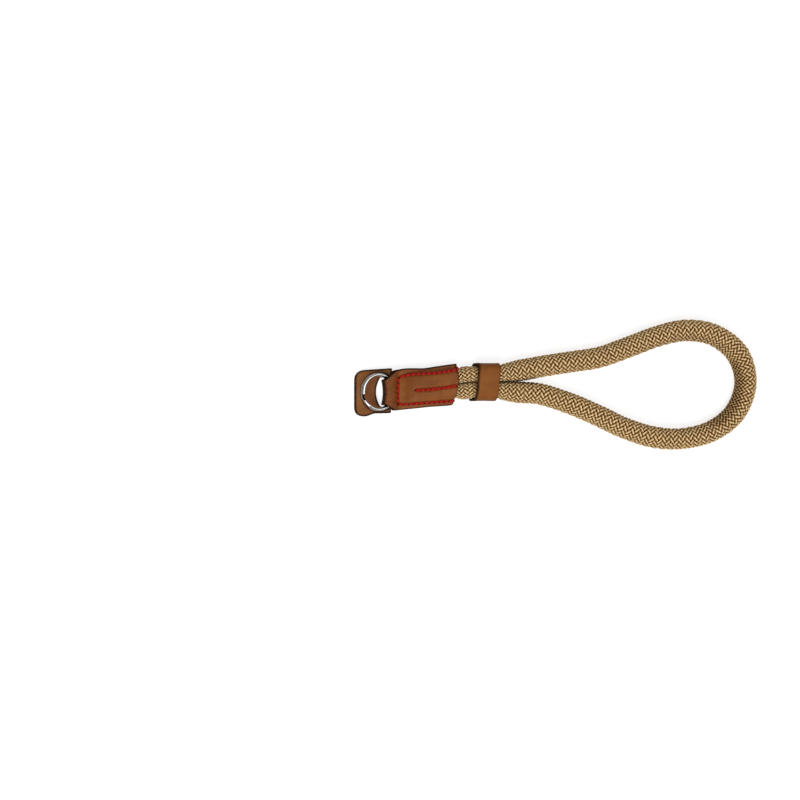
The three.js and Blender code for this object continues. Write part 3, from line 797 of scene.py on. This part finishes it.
def row_points(row, pitch):
    """Hole positions at an even pitch along one stitch row."""
    knots = np.array(row, float)
    run = run_along(knots)
    marks = np.linspace(0, run[-1], max(1, round(run[-1] / pitch)) + 1)
    return np.stack([np.interp(marks, run, knots[:, q]) for q in range(2)], axis=1)


def add_thread(thread, line, radii, facing, lay):
    """One closed length of thread, its flatter side turned to where facing points."""
    verts, faces, uvs = thread
    heading = unit(np.gradient(line, axis=0))
    sideways = unit(np.cross(facing, heading))
    outward = THREAD_FLATNESS * np.cross(heading, sideways)
    start = len(verts)
    for middle, radius, level, high in zip(line, radii, sideways, outward):
        for angle in np.arange(THREAD_SIDES) * 2 * math.pi / THREAD_SIDES:
            verts.append(middle + radius * (math.cos(angle) * level + math.sin(angle) * high))
    faces += [tuple(start + v for v in face) for face in tube_faces(len(line), THREAD_SIDES)]
    uvs += [(lay[q + up], 2 * (m + on) / THREAD_SIDES)
            for q in range(len(line) - 1) for m in range(THREAD_SIDES)
            for up, on in ((0, 0), (0, 1), (1, 1), (1, 0))]
    uvs += [(lay[end], 0.0) for end in (0, -1) for _ in range(THREAD_SIDES)]


def wrap_thread(thread, hole, radius):
    """The last stitch of a row, carried over the open end to the other side."""
    s, y = hole
    out = patch_end(y) - s
    low, top = patch_levels(s, y)
    clear = math.copysign(max(0.0, WRAP_Y - abs(y)), y)
    line = []
    for turn in np.linspace(-0.5, 0.5, WRAP_POINTS) * math.pi:
        reach = out * signed_power(math.cos(turn), WRAP_POWER) + WRAP_OUT
        half = (top - low) / 2 + WRAP_UP
        across = y + clear * math.cos(turn) + WRAP_SLANT * math.sin(turn)
        z = (top + low) / 2 - half * signed_power(math.sin(turn), WRAP_POWER)
        line.append((*on_patch(s + reach, across)[:2], z))
    line = np.array(line)
    facing = np.cross(np.gradient(line, axis=0), (-PATCH_SLOPE, 1.0, 0.0))
    add_thread(thread, line, [radius] * len(line), facing, WRAP_LAY * np.arange(len(line)))


def make_stitches():
    """Slanted threads on both sides of the patch, and dark discs in their holes as painted shade.
    """
    thread = ([], [], [])
    pits, pit_faces = [], []
    along = 0.5 - 0.5 * np.cos(np.linspace(0, math.pi, STITCH_POINTS))
    to_end = np.abs(2 * along - 1)
    rise = STITCH_RISE - STITCH_DIP * to_end ** 5
    size = STITCH_SIZE - STITCH_TAPER * to_end ** 4
    rim = np.arange(HOLE_SIDES)[:, None] * 2 * math.pi / HOLE_SIDES
    rim = HOLE_RADIUS * np.hstack([np.cos(rim), np.sin(rim), 0 * rim])
    for name, row in STITCH_ROWS.items():
        holes = row_points(row, STITCH_PITCH)
        for upper in (True, False):
            for h0, h1 in zip(holes, holes[1:]):
                step = STITCH_GAP * unit(h1 - h0)
                lean = (STITCH_SLANT if upper else -STITCH_SLANT) * np.array([-step[1], step[0]])
                a, b = h0 + step - lean, h1 - step + lean
                line = np.array([on_patch(*mix(a, b, t), upper, g) for t, g in zip(along, rise)])
                radii = STITCH_RADIUS[name] * size
                add_thread(thread, line, radii, UP if upper else -UP, 2 * along)
            for hole in holes:
                face = tuple(range(len(pits), len(pits) + HOLE_SIDES))
                pits.extend(on_patch(*hole, upper, HOLE_LIFT) + rim)
                pit_faces.append(face if upper else face[::-1])
        if name in ("upper", "lower"):
            wrap_thread(thread, holes[-1], STITCH_RADIUS[name] * WRAP_SIZE)
    verts, faces, uvs = thread
    verts = np.array(verts)
    verts[:, 2] = np.maximum(verts[:, 2], 0.0)
    stitches = make_piece("red_stitches", verts, faces, thread_material(), uv=uvs)
    # dark discs that paint the shade inside the holes
    pit = make_piece("stitch_hole_shades", pits, pit_faces, hole_shade_material())
    for piece in (stitches, pit):
        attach(piece, "strap")


make_patch()
make_stitches()

# -------- keeper slider
SLIDER = {"x": -43.05, "y": 0.82, "length": 10.5, "width": 18.0, "height": 12.0, "wall": 1.3,
          "top_corner": 4.4, "bottom_corner": 2.4, "skew": 0.1, "lean": 0.09, "round_edge": 0.4}
SLIDER_FINE, SLIDER_STEP = [0, 0.04, 0.12, 0.25, 0.45, 0.75], 0.4
ARC_POINTS, STRAIGHT_POINTS = 15, 18
SAG, SAG_HALF, WAIST = 0.18, 2.6, 0.12  # the flats and the middle of its length are hollow
SEAM_DEPTH, SEAM_Y, SEAM_HALF = 0.35, 1.5, 0.5  # underneath


def band_section():
    """Points and outward normals round the band, from its lower corner at +Y."""
    arcs = []
    half = np.array([SLIDER["width"], SLIDER["height"]]) / 2
    for start, side_y, side_z in ((-90, 1, -1), (0, 1, 1), (90, -1, 1), (180, -1, -1)):
        radius = SLIDER["top_corner" if side_z > 0 else "bottom_corner"]
        middle = (half - radius) * (side_y, side_z)
        angles = np.radians(start + np.linspace(0, 90, ARC_POINTS))
        outward = np.stack([np.cos(angles), np.sin(angles)], axis=1)
        arcs.append((middle + radius * outward, outward))
    points, normals = [], []
    for k, (arc, outward) in enumerate(arcs):
        following = arcs[(k + 1) % len(arcs)][0][0]
        straight = mix(arc[-1], following, np.linspace(0, 1, STRAIGHT_POINTS)[1:-1, None])
        points += [*arc, *straight]
        normals += [*outward, *([outward[-1]] * len(straight))]
    return np.array(points), np.array(normals)


def on_slider(x, across):
    """Where a point of the section lies, x along the band, which stands askew."""
    along = x + SLIDER["skew"] * across[0] + SLIDER["lean"] * across[1]
    return SLIDER["x"] + along, SLIDER["y"] + across[0], SLIDER["height"] / 2 + across[1]


def make_slider():
    """The leather band round both strands."""
    section, normals = band_section()
    length = SLIDER["length"]
    columns = spaced(length, SLIDER_FINE, SLIDER_STEP)
    near = np.minimum(columns, length - columns)
    roll = edge_roll(near, SLIDER["round_edge"])
    skin, lining, edge, shade_and_tone, groove = [], [], [], [], []
    for p, n in zip(section, normals):
        sag = SAG * bump_at(p[0], SAG_HALF) * abs(n[1])
        seam = bump_at(p[0] - SEAM_Y, SEAM_HALF) * (n[1] < -0.9)
        for x, r, d in zip(columns, roll, near):
            waist = WAIST * math.sin(math.pi * x / length)
            skin.append(on_slider(x, p - n * (r + sag + SEAM_DEPTH * seam + waist)))
            lining.append(on_slider(x, p - n * (SLIDER["wall"] - r)))
            # the left end's dark reaches further: its cut edge, with painted shade at the keeper's
            # mouth
            edge.append(0.88 * ramp(x, 1.35, 0.25) if x < length / 2 else 0.6 * ramp(d, 0.6, 0))
            # painted shade on the band's side walls
            shade_and_tone.append(0.9 * ramp(abs(n[0]), 0.45, 0.95))
            groove.append(0.5 * seam)
    hide = leather_material("slider_hide", light=rgb(134, 80, 32), dark=rgb(116, 66, 24),
                            edge=rgb(20, 8, 2))
    faces = shell_faces(len(section), len(columns), close_rows=True)
    piece = make_shell("keeper_band", skin, lining, faces, hide, edge, groove, shade_and_tone)
    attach(piece, "strap")
    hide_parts("keeper_slider")


make_slider()

# -------- protector pad
PAD = {"x": -91.3, "y": -3.9, "underside": 0.84, "slope": 0.1, "thickness": 1.6, "bevel": 0.42}
PAD_RING_SHADOW = {"x": -87.9, "y": -3.95, "stretch": 1.13, "inner": 8.4, "outer": 10.0}  # where the ring's painted shadow lies
BEVEL_STEPS, CLOSE = 3, 0.01  # points nearer than this are one
SPOT_X, SPOT_Y, SPOT_SHIFT, SPOT_CLEAR = (-8, 10.2, 0.5), (-11.5, 11.3, 0.45), 0.25, 0.16


def pad_outline():
    """The cut edge of the pad, from its lower right corner."""
    points = [(8.8, -9.9), (2.4, -10.0)]
    add_curve(points, (0.2, -10.1), (-0.8, -11.4), (-3.2, -11.4), count=14)
    add_curve(points, (-7.8, -11.4), (-7.8, -7.2))
    points.append((-7.8, 5.2))
    add_curve(points, (-7.8, 10.0), (-2.6, 10.3))
    points.append((9.3, 11.1))
    add_curve(points, (9.9, 11.1), (9.9, 10.5), count=4)
    points.append((9.4, -9.3))
    add_curve(points, (9.4, -9.9), (8.8, -9.9), count=4)
    return points[:-1]


def pad_window():
    """The half-moon window, straight beside the fold."""
    points = [(7.5, -7.4), (7.5, 7.4), (4.3, 6.6)]
    add_curve(points, (0.5, 0.0), (4.3, -6.6))
    return points


def pad_sides():
    loops = (pad_outline(), pad_window())
    return [side for loop in loops for side in zip(loop, loop[1:] + loop[:1])]


def cut_distance(x, y):
    """Distance of flat points to the nearest cut edge of the pad."""
    return np.minimum.reduce([segment_distance(x, y, start, end) for start, end in pad_sides()])


def fill_plate(shell, side):
    """Replaces a flat face by small triangles, so that its surface can vary."""
    flat = (PAD["thickness"] / 2 - CLOSE) * MM
    plate = [f for f in shell.faces if all(v.co.z * side > flat for v in f.verts)]
    members = set(plate)
    rim_edges = [e for e in shell.edges if len(members & set(e.link_faces)) == 1]
    rim = list({v for e in rim_edges for v in e.verts})
    order = {v: k for k, v in enumerate(rim)}
    level = rim[0].co.z
    spots = np.stack(np.meshgrid(np.arange(*SPOT_X), np.arange(*SPOT_Y)), axis=-1)
    spots[1::2, :, 0] += SPOT_SHIFT
    x, y = spots.reshape(-1, 2).T
    kept = inside_loops(x, y, pad_sides()) & (cut_distance(x, y) > PAD["bevel"] + SPOT_CLEAR)
    flat_points = [Vector(v.co.xy) / MM for v in rim] + [Vector(q) for q in zip(x[kept], y[kept])]
    ties = [(order[e.verts[0]], order[e.verts[1]]) for e in rim_edges]
    found, _, triangles, _, _, _ = delaunay_2d_cdt(flat_points, ties, [], 0, 1e-5)
    middles = np.array([[sum(found[i][q] for i in t) / 3 for q in (0, 1)] for t in triangles])
    rim_sides = [(flat_points[i], flat_points[k]) for i, k in ties]
    inside = inside_loops(middles[:, 0], middles[:, 1], rim_sides)
    bmesh.ops.delete(shell, geom=plate, context="FACES_ONLY")
    corner = rim + [shell.verts.new((c.x * MM, c.y * MM, level)) for c in found[len(rim):]]
    for t, ok in zip(triangles, inside):
        if ok:
            shell.faces.new([corner[i] for i in (t if side > 0 else t[::-1])])


def pad_mesh():
    """Points and faces of the flat pad, its middle at height 0."""
    curve = bpy.data.curves.new("pad_shape", "CURVE")
    curve.dimensions = "2D"
    curve.fill_mode = "BOTH"
    curve.extrude = (PAD["thickness"] / 2 - PAD["bevel"]) * MM
    curve.bevel_depth = PAD["bevel"] * MM
    curve.bevel_resolution = BEVEL_STEPS
    curve.offset = -PAD["bevel"] * MM
    for points in (pad_outline(), pad_window()):
        spline = curve.splines.new("POLY")
        spline.points.add(len(points) - 1)
        for target, p in zip(spline.points, points):
            target.co = (p[0] * MM, p[1] * MM, 0, 1)
        spline.use_cyclic_u = True
    shape = new_object("pad_shape", curve)
    bpy.context.view_layer.update()
    evaluated = shape.evaluated_get(bpy.context.evaluated_depsgraph_get())
    mesh = bpy.data.meshes.new_from_object(evaluated)
    bpy.data.objects.remove(shape)
    shell = bmesh.new()
    shell.from_mesh(mesh)
    bmesh.ops.remove_doubles(shell, verts=shell.verts, dist=CLOSE * MM)
    fill_plate(shell, 1)
    fill_plate(shell, -1)
    shell.verts.index_update()
    points = np.array([tuple(v.co) for v in shell.verts]) / MM
    faces = [tuple(v.index for v in f.verts) for f in shell.faces]
    shell.free()
    return points, faces


def make_pad():
    """The leather pad, sloping from the fold down to the table."""
    points, faces = pad_mesh()
    x, y, z = points.T
    far = cut_distance(x, y)
    # a wider dark margin on the left side, as painted shade
    wide = 0.35 + 0.3 * ramp(x, -5.8, -6.6)
    swell = 0.05 * np.sin(x * 1.1 + 0.6) * np.cos(y * 0.8) * ramp(far, 0.5, 2.0)
    level = z + swell * np.sign(z) - np.abs(swell)
    attributes = {
        "edge": 1 - ramp(far, wide, wide + 0.9),
        "groove": np.zeros(len(points)),
        # darker towards the lower edge
        "shade_and_tone": 0.75 * ramp(y, -5.5, -8),
        "above": level > 0,
    }
    tilt = np.array(Matrix.Rotation(-math.atan(PAD["slope"]), 3, "Y"))
    points = np.stack([x, y, level + PAD["thickness"] / 2], axis=1) @ tilt.T
    points += [PAD["x"], PAD["y"], PAD["underside"]]
    hide = leather_material("pad_hide", light=rgb(141, 92, 43), dark=rgb(118, 71, 31),
                            edge=rgb(28, 13, 6), ring_shadow=PAD_RING_SHADOW)
    piece = make_piece("protector_leather", points, faces, hide, attributes)
    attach(piece, "strap")
    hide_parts("protector_pad")


make_pad()

# -------- split ring
RING = {"x": -88.85, "y": -3.95, "z": 7.88, "tilt": 21.0, "wire": 1.25, "radius": 8.0,
        "pitch": 1.34, "crossing": 215, "span": 36, "gap": 10}  # the last three in degrees
RING_POINTS, RING_SIDES, WIRE_POWER = 300, 24, 2.3
RING_ENDS, RING_CHAMFER = np.array([0.06, 0.25, 0.7]), (0.72, 0.9, 1.0)  # degrees in, size there


def make_ring():
    """Two turns of flattened wire, crossing over where both its ends are."""
    first = RING["crossing"] + RING["span"] / 2 + RING["gap"]
    last = RING["crossing"] + 720 - RING["span"] / 2 - RING["gap"]
    climb = RING["crossing"] + 360 - RING["span"] / 2
    turn = np.concatenate([first + RING_ENDS, np.linspace(first + 2, last - 2, RING_POINTS),
                           last - RING_ENDS[::-1]])
    size = np.ones(len(turn))
    size[:3], size[-3:] = RING_CHAMFER, RING_CHAMFER[::-1]
    tilt = Matrix.Rotation(math.radians(RING["tilt"]), 3, "Y")
    centre = Vector((RING["x"], RING["y"], RING["z"]))
    verts, side, grime_and_shade = [], [], []
    for degrees, half in zip(turn, size * RING["wire"] / 2):
        share = ramp(degrees, climb, climb + RING["span"])
        level = (share - 0.5) * RING["pitch"]
        angle = math.radians(degrees)
        for m in range(RING_SIDES):
            g = 2 * math.pi * m / RING_SIDES
            radius = RING["radius"] - signed_power(math.cos(g), WIRE_POWER) * half
            height = level + signed_power(math.sin(g), WIRE_POWER) * half
            flat = Vector((math.cos(angle) * radius, math.sin(angle) * radius, height))
            verts.append(tilt @ flat + centre)
            # painted dark reflection on the inner and outer sides of the wire
            side.append(0.85 * ramp(abs(math.cos(g)), 0.45, 0.95))
            # dirt and painted shade where one turn faces the other
            to_other_turn = math.sin(g) * (1 if share < 0.5 else -1)
            grime_and_shade.append(ramp(to_other_turn, 0.25, 0.75) * (abs(2 * share - 1) > 0.5))
    piece = make_piece("split_ring_wire", verts, tube_faces(len(turn), RING_SIDES),
                       nickel_material(), {"side": side, "grime_and_shade": grime_and_shade})
    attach(piece, "ring")
    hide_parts("split_ring")


make_ring()

# -------- floor and light
WHITE = (1, 1, 1, 1)
FLOOR_HALF = 1500
FLOOR_DARK, FLOOR_LIGHT, FLOOR_GLOW = (0.3, 0.3, 0.3, 1), (0.32, 0.32, 0.32, 1), 0.76
SKY_HEIGHTS, SKY_GLOW = (0.72, 0.95), (0.04, 1.5)  # dark round the sides, bright overhead
LIGHTS = [  # name, place, what it points at, size, power
    ("key", (-0.3, -0.48, 0.85), (0, 0, 0), 0.5, 7.0),
    ("fill", (0.25, 0.45, 0.9), (0, 0, 0), 0.8, 0.5),
    ("card", (0.75, 0.0, 0.68), (-0.09, 0, 0), 0.7, 1.4),
]


def make_floor():
    """A pale table that glows a little, so that shadows stay faint."""
    n = Nodes(bpy.data.materials.new("pale_floor"))
    colour = n.blend(n.noise(n.place(), 6, 2), FLOOR_DARK, FLOOR_LIGHT)
    glow = {"Emission Color": WHITE, "Emission Strength": FLOOR_GLOW}
    corners = [(FLOOR_HALF * x, FLOOR_HALF * y, 0) for x, y in ((-1, -1), (1, -1), (1, 1), (-1, 1))]
    floor = make_piece("floor", corners, [(0, 1, 2, 3)], n.surface(colour, 0.9, 0.1, **glow))


def make_world():
    """White to the camera, and soft light from overhead."""
    n = Nodes(bpy.data.worlds.new("soft_white"))
    where = n.add("TexCoord", {})["Generated"]
    height = n.add("SeparateXYZ", {0: where})["Z"]
    seen = n.add("LightPath", {})["Is Camera Ray"]
    glow = n.math("MAXIMUM", n.spread(height, *SKY_HEIGHTS, *SKY_GLOW), seen)
    n.wire(n.tree.nodes["Background"], {"Color": WHITE, "Strength": glow})
    bpy.context.scene.world = n.owner


def make_light(name, place, aim, size, power):
    data = bpy.data.lights.new(name, "AREA")
    data.shape = "DISK"
    data.size = size
    data.energy = power
    lamp = new_object(name, data)
    lamp.location = place
    lamp.rotation_euler = (Vector(aim) - Vector(place)).to_track_quat("-Z", "Y").to_euler()


make_floor()
make_world()
for light in LIGHTS:
    make_light(*light)
bpy.context.scene.view_settings.view_transform = "Standard"
